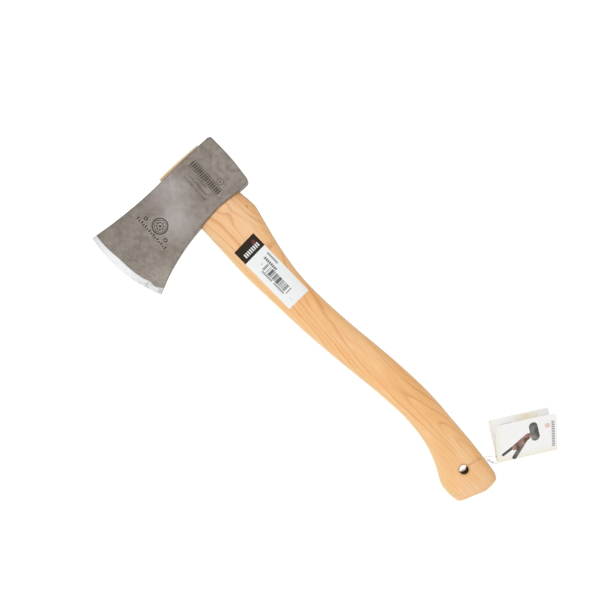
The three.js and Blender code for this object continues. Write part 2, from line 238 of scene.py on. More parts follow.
def use_second_material(piece, faces):
    slots = np.zeros(len(piece.data.polygons), np.int32)
    slots[faces] = 1
    piece.data.polygons.foreach_set("material_index", slots)


def cut(piece, *tools):
    """Takes the tools' bodies out of the piece's mesh."""
    for tool in tools:
        modifier = piece.modifiers.new("cut", "BOOLEAN")
        modifier.operation = "DIFFERENCE"
        modifier.solver = "EXACT"
        modifier.object = tool
    graph = bpy.context.evaluated_depsgraph_get()
    whole = piece.evaluated_get(graph)
    mesh = bpy.data.meshes.new_from_object(whole, preserve_all_data_layers=True, depsgraph=graph)
    piece.modifiers.clear()
    piece.data = mesh
    for tool in tools:
        bpy.data.objects.remove(tool)


def shade(piece, materials, crease=35):
    """Gives a piece its materials and smooth shading up to the crease angle."""
    for material in materials:
        piece.data.materials.append(material)
    piece.data.shade_smooth()
    piece.data.set_sharp_from_angle(angle=math.radians(crease))


def dress(piece, body, materials, nodes, crease=35):
    """Shades a piece, puts it on its body and hides the CAD nodes it stands for."""
    shade(piece, materials, crease)
    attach(piece, body)
    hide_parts(*nodes)


# ---- shader nodes


class Shader:
    """A material or world under construction. Every value is a socket, a number or a tuple."""

    def __init__(self, name, kind="materials", surface="Principled BSDF"):
        self.owner = getattr(bpy.data, kind).new(name)
        self.owner.use_nodes = True
        self.tree = self.owner.node_tree
        self.surface = self.tree.nodes[surface]
        self.tone = None

    def put(self, socket, value):
        if isinstance(value, bpy.types.NodeSocket):
            self.tree.links.new(value, socket)
        else:
            socket.default_value = value

    def node(self, kind, inputs=(), **settings):
        made = self.tree.nodes.new("ShaderNode" + kind)
        for name, value in settings.items():
            setattr(made, name, value)
        for name, value in dict(inputs).items():
            self.put(made.inputs[name], value)
        return made

    def set(self, **values):
        """Sets the surface's sockets: Base_Color is its Base Color."""
        for name, value in values.items():
            self.put(self.surface.inputs[name.replace("_", " ")], value)

    def place(self, scale=(1, 1, 1)):
        """Where the surface is, in millimetres about the middle of the head, times scale."""
        where = self.node("TexCoord").outputs["Object"]
        moved = self.node("VectorMath", {0: where, 1: tuple(ORIGIN)}, operation="SUBTRACT").outputs[0]
        factor = tuple(s / MM for s in scale)
        return self.node("VectorMath", {0: moved, 1: factor}, operation="MULTIPLY").outputs[0]

    def split(self, vector):
        return self.node("SeparateXYZ", {0: vector}).outputs

    def join(self, x, y, z):
        return self.node("CombineXYZ", {"X": x, "Y": y, "Z": z}).outputs[0]

    def math(self, operation, a, b=0.0, clamp=False):
        return self.node("Math", {0: a, 1: b}, operation=operation, use_clamp=clamp).outputs[0]

    def total(self, *values):
        return reduce(lambda a, b: self.math("ADD", a, b), values)

    def times(self, *values):
        return reduce(lambda a, b: self.math("MULTIPLY", a, b), values)

    def noise(self, vector, scale=1.0, detail=3.0, roughness=0.5, distortion=0.0):
        inputs = {"Vector": vector, "Scale": scale, "Detail": detail}
        inputs |= {"Roughness": roughness, "Distortion": distortion}
        return self.node("TexNoise", inputs).outputs["Fac"]

    def between(self, value, low, high, first=0.0, last=1.0):
        """first up to low, last from high on, and smooth between."""
        inputs = {"Value": value, "From Min": low, "From Max": high, "To Min": first, "To Max": last}
        return self.node("MapRange", inputs, interpolation_type="SMOOTHSTEP").outputs["Result"]

    def mix(self, share, a, b):
        colour = [value if isinstance(value, bpy.types.NodeSocket) else (*value, 1) for value in (a, b)]
        inputs = {0: share, 6: colour[0], 7: colour[1]}
        return self.node("Mix", inputs, data_type="RGBA").outputs[2]

    def over(self, share, colour):
        """Lays a colour over the tone so far."""
        self.tone = self.mix(share, self.tone, colour)

    def stain(self, *layers):
        """Lays colours over the tone, each by a value, where that starts and is full, and its share."""
        for value, low, high, share, colour in layers:
            self.over(self.between(value, low, high, 0, share), colour)

    def finish(self, **values):
        """Gives the surface its tone and these values."""
        self.set(Base_Color=self.tone, **values)
        return self.owner

    def attribute(self, name):
        return self.node("Attribute", attribute_name=name).outputs["Fac"]

    def bump(self, height, depth, strength):
        """A normal from a height of 0 to 1, depth millimetres deep."""
        inputs = {"Height": height, "Distance": depth * MM, "Strength": strength}
        return self.node("Bump", inputs).outputs["Normal"]

    def square(self, x, y):
        """The square of the length of (x, y)."""
        return self.total(self.times(x, x), self.times(y, y))

    def length(self, x, y):
        return self.math("SQRT", self.square(x, y))

    def off(self, place, centre):
        """The two steps from centre to place."""
        return [self.math("SUBTRACT", place[i], centre[i]) for i in (0, 1)]

    def patch(self, place, centre, reach):
        """1 at the centre, fading smoothly to 0 at that reach from it."""
        return self.between(self.length(*self.off(place, centre)), reach, 0)

    def print_place(self):
        """The place on the print, across and up, in millimetres."""
        across, up, _ = self.split(self.node("UVMap", uv_map="print").outputs[0])
        return across, up

    def inside(self, value, low, high):
        return self.times(self.math("GREATER_THAN", value, low), self.math("LESS_THAN", value, high))

    def panel(self, place, box):
        """1 inside a box of (low, high) across and (low, high) up."""
        return self.times(self.inside(place[0], *box[0]), self.inside(place[1], *box[1]))

    def stripes(self, place, box, pitch, share, seed):
        """Upright stripes of uneven width inside a box, with that share of it filled."""
        cell = self.math("FLOOR", self.math("DIVIDE", place[0], pitch))
        seeded = self.math("ADD", cell, seed)
        chance = self.node("TexWhiteNoise", {"W": seeded}, noise_dimensions="1D").outputs["Value"]
        return self.times(self.panel(place, box), self.math("LESS_THAN", chance, share))

    def dashes(self, place, box, pitch, fill, along=0):
        """Even dashes inside a box, each filling that share of its pitch."""
        phase = self.math("FRACT", self.math("DIVIDE", place[along], pitch))
        return self.times(self.panel(place, box), self.math("LESS_THAN", phase, fill))

    def spot(self, place, centre, radius):
        """1 inside a circle."""
        return self.math("LESS_THAN", self.square(*self.off(place, centre)), radius * radius)

    def capsule(self, place, start, end, radius):
        """1 within the radius of the line from start to end."""
        dx, dy = end[0] - start[0], end[1] - start[1]
        x, y = self.off(place, start)
        along = self.total(self.times(x, dx), self.times(y, dy))
        share = self.math("DIVIDE", along, dx * dx + dy * dy, clamp=True)
        return self.spot((x, y), (self.times(share, dx), self.times(share, dy)), radius)


# ---- camera, floor and light


def make_camera():
    right = Vector((*VIEW["right"], 0)).normalized()
    up = Vector((0, 0, 1)).cross(right)
    data = bpy.data.cameras.new("camera")
    data.lens = data.sensor_width * VIEW["distance"] / VIEW["across"]
    camera = add_object("camera", data)
    place = to_row((VIEW["x"], VIEW["y"], VIEW["distance"]))
    turned = Matrix((right, up, (0, 0, 1))).transposed().to_4x4()
    camera.matrix_world = Matrix.Translation(place) @ turned
    bpy.context.scene.camera = camera


def make_floor():
    half = 4.0
    mesh = bpy.data.meshes.new("floor")
    corners = [(-half, -half, 0), (half, -half, 0), (half, half, 0), (-half, half, 0)]
    mesh.from_pydata(corners, [], [(0, 1, 2, 3)])
    s = Shader("pale_floor")
    s.set(Base_Color=(0.35, 0.35, 0.35, 1), Roughness=0.9, Emission_Color=(1, 1, 1, 1))
    s.set(Emission_Strength=0.93)
    mesh.materials.append(s.owner)
    add_object("floor", mesh)


def make_light(name, place, size, power):
    """A square softbox over the hatchet, aimed at the middle of it."""
    data = bpy.data.lights.new(name, "AREA")
    data.size = size
    data.energy = power
    lamp = add_object(name, data)
    lamp.location = place
    lamp.rotation_euler = (-Vector(place)).to_track_quat("-Z", "Y").to_euler()


def make_studio():
    """A pale room that is brighter on the cutting edge's side, and two softboxes."""
    s = Shader("studio", "worlds", "Background")
    side = s.split(s.node("TexCoord").outputs["Generated"])["Y"]
    inputs = {"Value": side, "From Min": -1, "To Min": 0.74, "To Max": 0.56}
    s.set(Strength=s.node("MapRange", inputs).outputs[0], Color=(1, 1, 1, 1))
    bpy.context.scene.world = s.owner
    make_light("edge_softbox", (0.1, -1.1, 1.1), 1.0, 4.5)
    make_light("top_softbox", (-0.1, 0.2, 1.9), 1.4, 10.3)
    bpy.context.scene.view_settings.view_transform = "Standard"


# ---- materials


def forged_steel():
    """Blasted forging scale with a mottled tone, darker etched marks and faintly polished edges."""
    s = Shader("forged_steel")
    place = s.place()
    clouds = s.noise(place, 0.045, 5, 0.55, 0.4)
    patches = s.noise(place, 0.16, 6, 0.62)
    grit = s.noise(place, 1.9, 4, 0.7)
    x, y, _ = s.split(place)
    s.tone = s.mix(s.between(clouds, 0.32, 0.7), (0.222, 0.191, 0.16), (0.268, 0.237, 0.209))
    s.stain((patches, 0.42, 0.68, 0.62, (0.192, 0.158, 0.126)))
    # A paler, cooler patch of scale reaches from the eye to the seal
    pale = s.math("ADD", s.patch((x, y), (-20, -34), 34), s.patch((x, y), (8, -48), 30), clamp=True)
    s.over(s.times(pale, s.between(clouds, 0.2, 0.6, 0.6, 1)), (0.385, 0.345, 0.335))
    s.over(s.times(s.patch((x, y), (44, -95), 30), 0.6), (0.36, 0.32, 0.285))
    s.stain(
        (grit, 0.48, 0.72, 0.42, (0.1, 0.088, 0.074)),
        (s.noise(place, 0.75, 5, 0.7), 0.54, 0.74, 0.5, (0.4, 0.365, 0.335)),
    )
    # Grinding has left faint arcs that follow the cutting edge
    off_x, off_y = s.off((x, y), (EDGE["x"], EDGE["y"]))
    turn = s.math("ARCTAN2", off_x, off_y)
    round_edge = s.join(s.times(s.length(off_x, off_y), 0.7), s.times(turn, 16), 0)
    arcs = s.noise(round_edge, 1, 3, 0.6, 0.8)
    near_edge = s.between(y, -50, -100)
    s.over(s.times(s.between(arcs, 0.52, 0.7, 0, 0.28), near_edge), (0.4, 0.36, 0.33))
    s.over(s.times(s.between(arcs, 0.46, 0.3, 0, 0.3), near_edge), (0.16, 0.14, 0.12))
    for name, share, colour in (
        ("wear", 0.25, (0.42, 0.4, 0.38)),
        ("scuff", 0.4, (0.42, 0.39, 0.33)),
        # the head's side walls, painted dark as painted shade
        ("wall_shade", 0.6, (0.085, 0.075, 0.065)),
        # the raised lips round the stamps, painted lighter as a painted highlight on their rims
        ("lip", 0.5, (0.47, 0.43, 0.39)),
        # the stamps' grooves, painted dark as painted shade in the recesses
        ("stamp", 1, (0.085, 0.065, 0.048)),
        ("etch", 1, (0.05, 0.042, 0.032)),
    ):
        s.over(s.times(s.attribute(name), share), colour)
    rough = s.between(patches, 0.3, 0.8, 0.44, 0.62)
    height = s.total(s.times(grit, 0.6), s.times(s.noise(place, 0.6, 4, 0.6), 1.2), s.times(arcs, 0.5))
    return s.finish(Metallic=0.7, Roughness=rough, Normal=s.bump(height, 0.12, 0.7))


def ground_steel():
    """The bright bevel, with grinding scratches across the edge, duller towards the heel."""
    s = Shader("ground_steel")
    scratches = s.noise(s.place((2.6, 0.12, 1)), 1, 4, 0.6)
    heel = s.between(s.split(s.place())[0], -10, 50, 0.1, 1)
    blotches = s.noise(s.place(), 0.3, 4, 0.6)
    grey = s.times(heel, s.between(blotches, 0.3, 0.7, 0.5, 1))
    s.tone = s.mix(grey, (0.74, 0.745, 0.75), (0.36, 0.365, 0.37))
    s.stain((scratches, 0.45, 0.8, 0.16, (0.44, 0.445, 0.45)))
    rough = s.between(scratches, 0.3, 0.8, 0.26, 0.38)
    return s.finish(Metallic=1.0, Roughness=rough, Normal=s.bump(scratches, 0.012, 0.5))


def ash():
    """Ash: growth rings round a pith below the handle that open into arches where it tapers past them."""
    s = Shader("ash")
    x, y, z = s.split(s.place())
    drift = s.math("SUBTRACT", s.noise(s.place((0.006, 0.012, 0.012)), 1, 1.5, 0.4), 0.5)
    sway = s.math("SUBTRACT", s.noise(s.place((0.011, 0.035, 0.035)), 1, 2.5, 0.45), 0.5)
    across = s.total(y, s.times(x, -0.066), s.times(drift, 15), 8.6)
    below = s.total(z, s.times(x, -0.042), s.times(sway, 6), 12)
    radius = s.length(across, below)
    uneven = s.noise(s.join(s.times(radius, 0.16), 0, 0), 1, 2, 0.5)
    rings = s.math("DIVIDE", s.total(radius, s.times(uneven, 5)), 2.6)
    phase = s.math("FRACT", rings)
    early = s.times(s.between(phase, 0.0, 0.08), s.between(phase, 0.08, 0.36, 1, 0))
    strength = s.noise(s.place((0.02, 0.09, 0.09)), 1, 2, 0.5)
    early = s.times(early, s.between(strength, 0.38, 0.58, 0.45, 1), s.between(x, 352, 384, 1, 0.45))
    fibres = s.noise(s.place((0.03, 1.1, 1.1)), 1, 4, 0.62)
    bands = s.noise(s.place((0.012, 0.17, 0.17)), 1, 3, 0.55)
    pores = s.noise(s.place((0.14, 3.4, 3.4)), 1, 2, 0.5)
    zones = s.noise(s.place((0.011, 0.04, 0.04)), 1, 3, 0.5)
    s.tone = s.mix(s.between(zones, 0.35, 0.65), (0.9, 0.55, 0.262), (0.88, 0.47, 0.175))
    s.stain(
        (bands, 0.5, 0.7, 0.5, (0.85, 0.43, 0.16)),
        (bands, 0.48, 0.32, 0.4, (0.94, 0.61, 0.33)),
    )
    ends = s.total(s.between(x, 130, 30, 0, 0.45), s.between(x, 396, 422, 0, 0.55))
    s.over(ends, (0.88, 0.57, 0.335))
    for place, reach, share in (((332, 14), 15, 0.55), ((362, 4), 10, 0.5), ((403, 0), 3.5, 0.4)):
        warm = s.patch((s.times(x, 0.35), y), (place[0] * 0.35, place[1]), reach)
        s.over(s.times(warm, share), (0.82, 0.42, 0.13))
    s.over(s.times(early, 0.68), (0.66, 0.27, 0.08))
    s.stain(
        (fibres, 0.48, 0.72, 0.42, (0.7, 0.33, 0.115)),
        (fibres, 0.48, 0.28, 0.2, (0.92, 0.62, 0.36)),
    )
    open_pores = s.times(s.between(pores, 0.6, 0.7), s.total(s.times(early, 0.5), 0.12))
    s.over(open_pores, (0.45, 0.2, 0.07))
    knot = s.patch((s.times(x, 0.6), y), (44.5 * 0.6, 15.8), 1.9)
    s.over(s.times(knot, 0.7), (0.33, 0.15, 0.06))
    # Painted light and shade across the handle: a darker orange band and a grey-brown painted shade at the
    # back edge, a yellow painted light band and a darker painted shade line at the belly edge
    side = s.attribute("side")
    s.stain(
        (side, 0.6, 0.9, 0.5, (0.76, 0.385, 0.125)),
        (side, 0.91, 0.97, 0.75, (0.42, 0.29, 0.17)),
        (side, -0.95, -0.985, 0.4, (0.5, 0.37, 0.2)),
        (side, -0.55, -0.9, 0.5, (0.76, 0.55, 0.29)),
    )
    normal_x, _, _ = s.split(s.node("NewGeometry").outputs["Normal"])
    end_grain = s.between(s.math("ABSOLUTE", normal_x), 0.75, 0.95)
    s.over(s.times(end_grain, 0.45), (0.5, 0.27, 0.1))
    # Painted light and shade on the tongue: a brown painted shade next to the head and a cream painted
    # highlight at its outer edge
    s.stain(
        (x, -33, -34.5, 0.6, (0.46, 0.31, 0.13)),
        (x, -35.2, -36.2, 0.95, (0.96, 0.89, 0.73)),
    )
    # a painted shade round the hang hole's mouth
    s.over(s.times(s.attribute("rim"), 0.5), (0.5, 0.24, 0.09))
    s.set(Roughness=s.between(fibres, 0.3, 0.7, 0.38, 0.5), Coat_Weight=0.1, Coat_Roughness=0.35)
    return s.finish(Normal=s.bump(fibres, 0.05, 0.35))


def bored_ash():
    """The hang hole's wall, painted dark brown as the shade inside the hole."""
    s = Shader("bored_ash")
    # a mottle between two dark browns: painted shade on the wall
    shade_mottle = s.noise(s.place(), 0.9, 4, 0.6)
    s.tone = s.mix(s.between(shade_mottle, 0.3, 0.7), (0.085, 0.036, 0.012), (0.14, 0.06, 0.022))
    return s.finish(Roughness=s.between(shade_mottle, 0.3, 0.7, 0.8, 0.95), Specular_IOR_Level=0.1)


def beech():
    s = Shader("beech")
    fibres = s.noise(s.place((0.05, 1.4, 1.4)), 1, 4, 0.6)
    flecks = s.between(s.noise(s.place((0.5, 3, 3)), 1, 2, 0.5), 0.58, 0.68, 0, 0.5)
    s.tone = s.mix(s.between(fibres, 0.35, 0.7), (0.72, 0.42, 0.21), (0.56, 0.29, 0.13))
    s.over(flecks, (0.33, 0.15, 0.06))
    return s.finish(Roughness=0.6, Normal=s.bump(fibres, 0.08, 0.5))


def turned_steel():
    s = Shader("turned_steel")
    lines = s.noise(s.place((3, 0.4, 0.4)), 1, 3, 0.6)
    s.tone = s.mix(s.between(lines, 0.3, 0.7), (0.55, 0.55, 0.56), (0.4, 0.39, 0.38))
    return s.finish(Metallic=1.0, Roughness=0.35, Normal=s.bump(lines, 0.04, 0.5))


def label_print():
    """The sticker: a dark header with a plain mark, rows of plain dashes and a run of bars."""
    s = Shader("label_print")
    place = s.print_place()
    grain = s.noise(s.place(), 2.5, 3, 0.5)
    s.tone = s.mix(s.between(grain, 0.3, 0.7), (0.87, 0.88, 0.885), (0.84, 0.85, 0.855))
    header = s.panel(place, ((0, 16.4), (-1, 40)))
    mark = s.dashes(place, ((8.6, 13.2), (4.2, 24.2)), 2.5, 0.6, along=1)
    dot = s.spot(place, (6.2, 21.6), 2.1)
    ink = [
        s.dashes(place, ((24, 38.5), (23.2, 25.2)), 1.7, 0.7),
        s.dashes(place, ((24.5, 42.5), (17.4, 20.2)), 2.3, 0.72),
        s.stripes(place, ((31, 66.6), (8.8, 16.6)), 0.45, 0.52, 8),
        s.dashes(place, ((33, 47.6), (6.2, 8.2)), 1.6, 0.66),
        s.dashes(place, ((50, 64.6), (6.2, 8.2)), 1.6, 0.66),
        s.dashes(place, ((28, 30), (10.8, 13.4)), 3, 0.5),
    ]
    for line in ink:
        s.over(s.times(line, 0.86), (0.03, 0.03, 0.035))
    faint = s.dashes(place, ((71, 76.5), (7.6, 9.2)), 2.4, 0.5)
    s.over(s.times(faint, 0.3), (0.25, 0.25, 0.27))
    black = s.mix(s.between(grain, 0.3, 0.7), (0.021, 0.014, 0.008), (0.027, 0.019, 0.011))
    s.over(header, black)
    s.over(mark, (0.8, 0.8, 0.82))
    s.over(dot, (0.16, 0.035, 0.03))
    s.set(Roughness=s.between(grain, 0.3, 0.7, 0.42, 0.52), Specular_IOR_Level=0.12)
    return s.finish(Normal=s.bump(s.noise(s.place(), 0.35, 3, 0.5), 0.05, 0.4))


def card_face(s, place):
    """The card's own tone, warmer towards the fold and the loop's end."""
    grain = s.noise(s.place(), 2.2, 4, 0.6)
    warm = s.total(s.between(place[1], 0, 12, 0.7, 0), s.between(place[0], 0, 7, 0.6, 0))
    plain = s.mix(s.between(grain, 0.3, 0.7), (0.925, 0.92, 0.91), (0.89, 0.885, 0.875))
    s.set(Roughness=0.55, Specular_IOR_Level=0.3, Normal=s.bump(grain, 0.02, 0.4))
    return s.mix(s.math("MINIMUM", warm, 1), plain, (0.88, 0.83, 0.68))


def card_cover():
    """The card's outer side: a plain mallet with a run of stripes beside it."""
    s = Shader("card_cover")
    place = s.print_place()
    s.tone = card_face(s, place)
    shaft = s.capsule(place, (7, 9), (36, 27), 1.7)
    grip = s.capsule(place, (20, 15), (34, 25), 3.6)
    strap = s.capsule(place, (19, 3), (30, 20), 2.6)
    block = s.capsule(place, (42.2, 22.5), (40.2, 35.5), 4.6)
    sheen = s.noise(s.join(place[0], place[1], 0.0), 0.12, 1.5, 0.4)
    grey = s.mix(s.between(sheen, 0.35, 0.7), (0.085, 0.088, 0.075), (0.28, 0.27, 0.24))
    brown = s.mix(s.between(sheen, 0.35, 0.65), (0.12, 0.07, 0.055), (0.42, 0.24, 0.18))
    s.over(shaft, (0.085, 0.075, 0.06))
    s.over(strap, grey)
    s.over(grip, brown)
    s.over(block, grey)
    stripes = s.dashes(place, ((59.8, 63.2), (6, 37)), 2.1, 0.55, along=1)
    s.over(s.times(stripes, 0.85), (0.09, 0.085, 0.085))
    s.over(s.times(s.spot(place, (55.6, 33), 2.9), 0.75), (0.8, 0.46, 0.42))
    return s.finish()


def card_inside():
    """The card's inner side: a pale panel and rows of fine dashes near the open edge."""
    s = Shader("card_inside")
    across, up = s.print_place()
    place = (across, s.math("ABSOLUTE", up))
    s.tone = card_face(s, place)
    panel = s.panel(place, ((30, 53), (31, 43)))
    lines = [((12, 25), (37.2, 38.2)), ((8, 24), (33.6, 34.4)), ((33, 47), (34.4, 35.6))]
    faded = s.between(s.noise(s.join(across, up, 0.0), 0.16, 2, 0.5), 0.35, 0.65, 0.35, 0.8)
    s.over(s.times(panel, faded), (0.86, 0.78, 0.55))
    for box in lines:
        s.over(s.times(s.dashes(place, box, 1.3, 0.7), 0.45), (0.3, 0.27, 0.2))
    return s.finish()


def clear_nylon(name, tint, haze):
    """Clear moulded nylon, a little cloudy."""
    s = Shader(name)
    cloud = s.noise(s.place(), 0.9, 3, 0.5)
    s.tone = s.mix(s.between(cloud, 0.3, 0.7), tint, tuple(0.9 * part for part in tint))
    x, y, _ = s.split(s.place())
    # painted wood colour over the wood, standing in for the wood seen through the filament
    s.stain((y, 26.5, 24, 0.9, (0.82, 0.58, 0.35)))  # the wood shows through it
    # the filament in and around the hang hole, painted near black as painted shade
    hole_shade = s.patch((x, y), HANG_HOLE["place"], 5.5)
    s.over(s.times(hole_shade, 0.95), (0.05, 0.045, 0.04))
    s.set(Roughness=s.between(cloud, 0.3, 0.7, haze, haze + 0.1), IOR=1.53)
    return s.finish(Transmission_Weight=0.35, Alpha=0.7)


# ---- the head


def cutting_edge(x):
    return EDGE["y"] - np.sqrt(EDGE["radius"] ** 2 - (x - EDGE["x"]) ** 2)


poll_line = curve_through([(-36, 35.5), (-31, 35.9), (-4, 36.8), (22, 35.25), (29, 34.6)])
top_line = curve_through([
    (-124, -37.9), (-100, -35.1), (-72, -33.2), (-50, -32.6), (-34, -32.8), (0, -34.2), (31.5, -34.6),
])
under_line = curve_through([
    (-121, 58), (-109, 52.4), (-90, 43.7), (-70, 36.9), (-50, 31.9), (-28, 28.3), (-14, 26.8),
    (-2, 26.2), (9, 26.6), (21.8, 27.4), (30, 27.4),
])
face_height = curve_through([
    (4, 1.38), (7.5, 1.6), (30, 2.9), (52, 4.7), (70, 7), (86, 9.8), (98, 11.5), (108, 12), (175, 12),
])
bevel_width = curve_through([
    (-42, 5.2), (-34, 5.6), (-20, 6.6), (-4, 8.2), (10, 7.9), (28, 7.5), (35, 8.3), (43, 6),
    (50, 8.3), (62, 7.4),
])


def head_sides(y):
    """The head's lowest and highest x at y, its poll corners rounded."""
    low = top_line(y) + 3.6 * (1 - np.sqrt(1 - np.clip((y - 31.5) / 4.42, 0, 1) ** 2))
    high = under_line(y) - 5.4 * (1 - np.sqrt(1 - np.clip((y - 30) / 5.22, 0, 1) ** 2))
    # Past the last points of the two lines, they run on as they end
    low = low - 0.15 * np.minimum(y + 124, 0)
    high = high - 0.47 * np.minimum(y + 121, 0)
    return low, high


def head_grid():
    """The x and y of the head's grid, rows from the poll to the cutting edge."""
    poll_rows = np.array([0, 0.06, 0.25, 0.6, 1.1, 1.7, 2.4, 3.2, 4.1])
    poll_depth = 5.0
    first, last = poll_line(0.0) - poll_depth, cutting_edge(0.0) + bevel_width(0.0)
    levels = [first]
    while levels[-1] > last:
        marked = any(low < levels[-1] < high for low, high in MARKED)
        levels.append(levels[-1] - (FINE_STEP if marked else COARSE_STEP))
    shares = np.array([*((first - y) / (first - last) for y in levels[:-1]), 1])
    bevel_rows = np.linspace(0, 1, 6)[1:]
    insets = np.array([0, 0.08, 0.3, 0.65, 1.1, 1.6])
    columns = 146
    inner = np.linspace(0, 1, columns)[1:-1]

    x = np.zeros((len(poll_rows) + len(shares) + len(bevel_rows), columns + 2 * len(insets) - 2))
    for _ in range(8):
        poll, edge = poll_line(x), cutting_edge(x)
        ground = edge + bevel_width(x) + 0.3 * bumps(x, x * 0, 2.2, 3) * smoothstep(x, 20, 40)
        from_poll = poll[: len(poll_rows)] - poll_rows[:, None]
        middle = slice(len(poll_rows), len(poll_rows) + len(shares))
        between = (poll[middle] - poll_depth) * (1 - shares[:, None]) + ground[middle] * shares[:, None]
        end = slice(middle.stop, None)
        bevel = ground[end] * (1 - bevel_rows[:, None]) + edge[end] * bevel_rows[:, None]
        y = np.vstack([from_poll, between, bevel])
        low, high = head_sides(y)
        margin = insets[-1]
        within = slice(len(insets), -len(insets))
        span = (high - low)[:, within] - 2 * margin
        x = np.hstack([
            low[:, : within.start] + insets,
            low[:, within] + margin + span * inner,
            high[:, within.stop :] - insets[::-1],
        ])
    return x, y, len(bevel_rows)


def box_mark(x, y, low, high, soft=0.2):
    """1 inside a box from low to high, falling to 0 over soft millimetres."""
    reach = np.minimum.reduce([x - low[0], high[0] - x, y - low[1], high[1] - y])
    return np.clip(reach / soft + 0.5, 0, 1)


def ring_mark(x, y, centre, radius, wide, soft=0.25):
    """1 on a ring, or on a disc where the radius is 0."""
    away = np.hypot(x - centre[0], y - centre[1])
    return np.clip((wide / 2 - np.abs(away - radius)) / soft + 0.5, 0, 1)


def stamped(x, y):
    """How deep the stamped marks are: a plain rosette in a ring, two rings and a row of ticks."""
    seal = (0, -64)
    # Each one's centre, radius, line width and depth
    rings = [
        (seal, 8.1, 1, 0.6), (seal, 6.2, 0.6, 0.4), (seal, 0, 2.4, 0.5),
        ((-15.5, -69.5), 1.6, 1, 0.55), ((14.5, -69.5), 1.6, 1, 0.55),
    ]
    petals = 8
    for k in range(petals):
        turn = 2 * math.pi * k / petals
        petal = (seal[0] + 3.7 * math.cos(turn), seal[1] + 3.7 * math.sin(turn))
        rings.append((petal, 0, 1.7, 0.5))
    marks = [deep * ring_mark(x, y, centre, radius, wide) for centre, radius, wide, deep in rings]
    for k in range(15):
        start = -22 + 2.95 * k
        tall = 2.9 if k % 2 == 0 else 1.7
        marks.append(0.6 * box_mark(x, y, (start, -76.6), (start + 1.35, -76.6 + tall)))
    return np.maximum.reduce(marks)


def softened(field):
    """A grid of values, each averaged with its neighbours up to two away."""
    shifts = range(-2, 3)
    return sum(np.roll(field, (i, j), (0, 1)) for i in shifts for j in shifts) / len(shifts) ** 2


def etched(x, y):
    """How dark the etched marks are: bars between two lines, a ring and three rows of fine dashes."""
    starts = -26 + 2.5 * np.arange(17)
    marks = [0.96 * box_mark(x, y, (start, 1), (start + 1.6, 6.4)) for start in starts]
    marks += [0.8 * box_mark(x, y, (-26, at - 0.35), (15.6, at + 0.35)) for at in (0, 7.6)]
    marks += [0.7 * ring_mark(x, y, (8, 12.2), *size) for size in ((3.3, 0.8), (0, 2.2))]
    for level, first, last in ((-3.2, -11, 2), (-8, -18, 8), (-12.6, -20, 11)):
        for k, left in enumerate(np.arange(first, last, 2.3)):
            tall = 1.9 if k % 3 else 1.3
            marks.append(0.6 * box_mark(x, y, (left, level), (left + 1.5, level + tall)))
    return np.maximum.reduce(marks)


def head_height(x, y, low, high, seed):
    """Half the head's thickness at x, y, with an uneven skin, and how far x, y is inside its outline."""
    from_edge = y - cutting_edge(x)
    width = np.maximum(bevel_width(x), 1)
    blade = 0.15 + (face_height(width) - 0.15) * np.clip(from_edge / width, 0, 1)
    height = np.where(from_edge < width, blade, face_height(from_edge))
    rough = np.minimum(0.14 * bumps(x, y, 17, seed) + 0.05 * bumps(x, y, 4.5, seed + 9) - 0.13, 0)
    height = height + rough * smoothstep(from_edge, 9, 22)
    inset = np.minimum.reduce([x - low, high - x, poll_line(x) - y])
    radius = np.minimum(POLL_ROUND, 0.7 * height)
    fall = np.clip(radius - inset, 0, radius)
    return height - radius + np.sqrt(np.maximum(radius**2 - fall**2, 0)), inset


def oval(belly, back, half, roundness):
    """A flattened oval across the line from belly to back, both (x, y)."""
    belly, back = np.array((*belly, 0.0)), np.array((*back, 0.0))
    angles = np.arange(SIDES) * 2 * math.pi / SIDES
    across = np.sign(np.cos(angles)) * np.abs(np.cos(angles)) ** (2 / roundness)
    up = np.sign(np.sin(angles)) * np.abs(np.sin(angles)) ** (2 / roundness)
    ring = (belly + back) / 2 + across[:, None] * (back - belly) / 2
    ring[:, 2] = half * up
    return ring


def eye_section(x, extra):
    """A section of the eye at x, made larger on each side by extra."""
    long, wide = EYE["long"] + extra, EYE["wide"] + extra
    return oval((x, EYE["y"] - long), (x, EYE["y"] + long), wide, EYE["roundness"])


